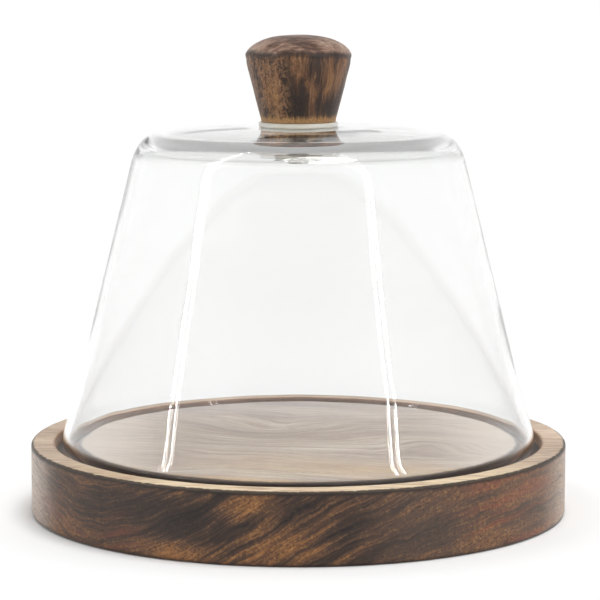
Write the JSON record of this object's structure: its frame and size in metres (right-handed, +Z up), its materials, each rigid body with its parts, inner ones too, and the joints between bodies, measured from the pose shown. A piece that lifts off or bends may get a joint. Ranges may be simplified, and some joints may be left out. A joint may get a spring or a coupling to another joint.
{
  "type": "bell jar dome",
  "caption": "Low glass dome in the shape of a truncated cone with a turned wooden knob, standing in the ring groove of a round wooden tray.",
  "frame": {"origin": "centre of the tray's flat underside, on the common axis of every turned piece", "axes": "+Z up along the common axis; every piece is round about it, so X and Y are free: +X to the right and +Y away from a viewer in front"},
  "size_m": [0.254, 0.254, 0.225],
  "materials": {
    "tray_wood": "satin",
    "knob_wood": "satin",
    "clear_glass": "polished",
    "clear_silicone": "satin",
    "steel": "satin",
    "brass": "satin"
  },
  "bodies": {
    "tray": {"wood_tray": "tray_wood"},
    "dome": {"glass_dome": "clear_glass", "knob": "knob_wood", "threaded_insert": "brass", "upper_gasket": "clear_silicone", "lower_gasket": "clear_silicone", "flat_washer": "steel", "knob_screw": "steel"}
  },
  "joints": [
    {"name": "dome_lift", "type": "slide", "parent": "tray", "child": "dome", "axis": [0, 0, 1], "range_m": [0, 0.2]}
  ]
}
